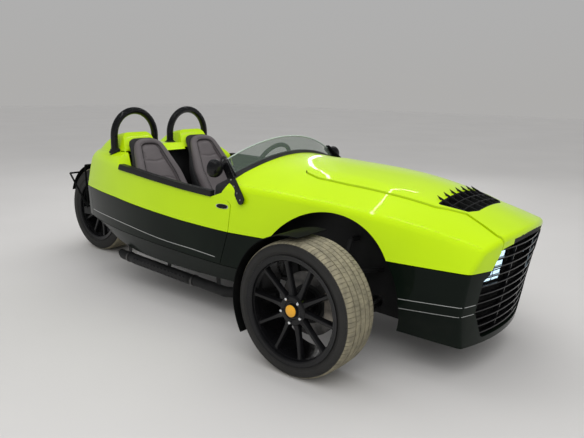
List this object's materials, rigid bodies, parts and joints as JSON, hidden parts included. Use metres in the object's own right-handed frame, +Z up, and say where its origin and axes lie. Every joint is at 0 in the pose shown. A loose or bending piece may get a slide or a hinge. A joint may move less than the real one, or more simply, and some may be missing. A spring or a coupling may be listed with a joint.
{
  "type": "three wheeled car",
  "caption": "Open two-seat three wheeled car, lime over black, with roll hoops, low screen, steered front wheels, opening bonnet and one wide rear wheel.",
  "frame": {"origin": "centre of the footprint on the floor", "axes": "+Z up, -Y towards the nose, +X towards the driver on the left side of the car"},
  "size_m": [1.736, 3.641, 1.1489],
  "materials": {
    "lime_gloss": "gloss",
    "black_gloss": "gloss",
    "black_satin": "satin",
    "black_plastic": "matte",
    "grille_black": "gloss",
    "lamp_glass": "gloss",
    "red_glass": "gloss",
    "smoked_glass": "gloss",
    "seat_grey": "matte",
    "trim_grey": "satin",
    "tyre": "matte",
    "steel": "satin",
    "engine_cast": "matte"
  },
  "bodies": {
    "body": {"centre_console": "black_plastic", "chin": "black_gloss", "dashboard": "trim_grey", "engine_block": "engine_cast", "exhaust_left": "black_plastic", "exhaust_right": "black_plastic", "front_body": "lime_gloss", "front_frame": "black_plastic", "front_grille": "grille_black", "headlamp_left": "lamp_glass", "headlamp_right": "lamp_glass", "mirror_left": "black_satin", "mirror_right": "black_satin", "quarter_panel_left": "black_gloss", "quarter_panel_right": "black_gloss", "rear_body": "lime_gloss", "rear_fender": "black_satin", "rear_frame": "black_plastic", "rear_shock": "steel", "roll_hoop_left": "black_satin", "roll_hoop_right": "black_satin", "screen_bracket_left": "black_satin", "screen_bracket_right": "black_satin", "screen_seal": "trim_grey", "seat_left": "seat_grey", "seat_right": "seat_grey", "side_panel_left": "black_gloss", "side_panel_right": "black_gloss", "side_rail_left": "trim_grey", "side_rail_right": "trim_grey", "sill_left": "black_gloss", "sill_right": "black_gloss", "steering_column": "black_plastic", "steering_rack": "steel", "suspension_left": "steel", "suspension_right": "steel", "swingarm": "black_satin", "tail_lamp_left": "red_glass", "tail_lamp_right": "red_glass", "tail_panel": "black_gloss", "tub": "black_plastic", "windscreen": "smoked_glass"},
    "bonnet": {"bonnet": "lime_gloss", "bonnet_vent": "grille_black"},
    "steer_left": {"knuckle_left": "steel", "cycle_fender_left": "black_satin"},
    "steer_right": {"knuckle_right": "steel", "cycle_fender_right": "black_satin"},
    "wheel_left": {"wheel_left": "black_satin", "tyre_left": "tyre"},
    "wheel_right": {"wheel_right": "black_satin", "tyre_right": "tyre"},
    "wheel_rear": {"wheel_rear": "black_satin", "tyre_rear": "tyre"},
    "steering_wheel": {"steering_wheel": "black_plastic"},
    "tie_rods": {"tie_rods": "steel"}
  },
  "joints": [
    {"name": "bonnet_hinge", "type": "hinge", "parent": "body", "child": "bonnet", "pos_m": [0, -1.7853, 0.656], "axis": [1, 0, 0], "range_deg": [0, 55]},
    {"name": "steer_left", "type": "hinge", "parent": "body", "child": "steer_left", "pos_m": [0.65, -1.0493, 0.32], "axis": [0, 0, 1], "range_deg": [-28, 28]},
    {"name": "steer_right", "type": "hinge", "parent": "body", "child": "steer_right", "pos_m": [-0.65, -1.0493, 0.32], "axis": [0, 0, 1], "range_deg": [-28, 28]},
    {"name": "wheel_left", "type": "hinge", "parent": "steer_left", "child": "wheel_left", "pos_m": [0.75, -1.0493, 0.32], "axis": [1, 0, 0], "continuous": true},
    {"name": "wheel_right", "type": "hinge", "parent": "steer_right", "child": "wheel_right", "pos_m": [-0.75, -1.0493, 0.32], "axis": [1, 0, 0], "continuous": true},
    {"name": "wheel_rear", "type": "hinge", "parent": "body", "child": "wheel_rear", "pos_m": [0, 1.4907, 0.3285], "axis": [1, 0, 0], "continuous": true},
    {"name": "steering_wheel", "type": "hinge", "parent": "body", "child": "steering_wheel", "pos_m": [0.249, 0.0007, 0.778], "axis": [0, 0.9063, 0.4226], "range_deg": [-336, 336]},
    {"name": "tie_rods", "type": "slide", "parent": "body", "child": "tie_rods", "axis": [1, 0, 0], "range_m": [-0.0625, 0.0625]}
  ],
  "couplings": [
    {"joint": "steer_right", "follows": "steer_left", "ratio": 1},
    {"joint": "steering_wheel", "follows": "steer_left", "ratio": 12},
    {"joint": "tie_rods", "follows": "steer_left", "m_per_rad": 0.1275}
  ]
}
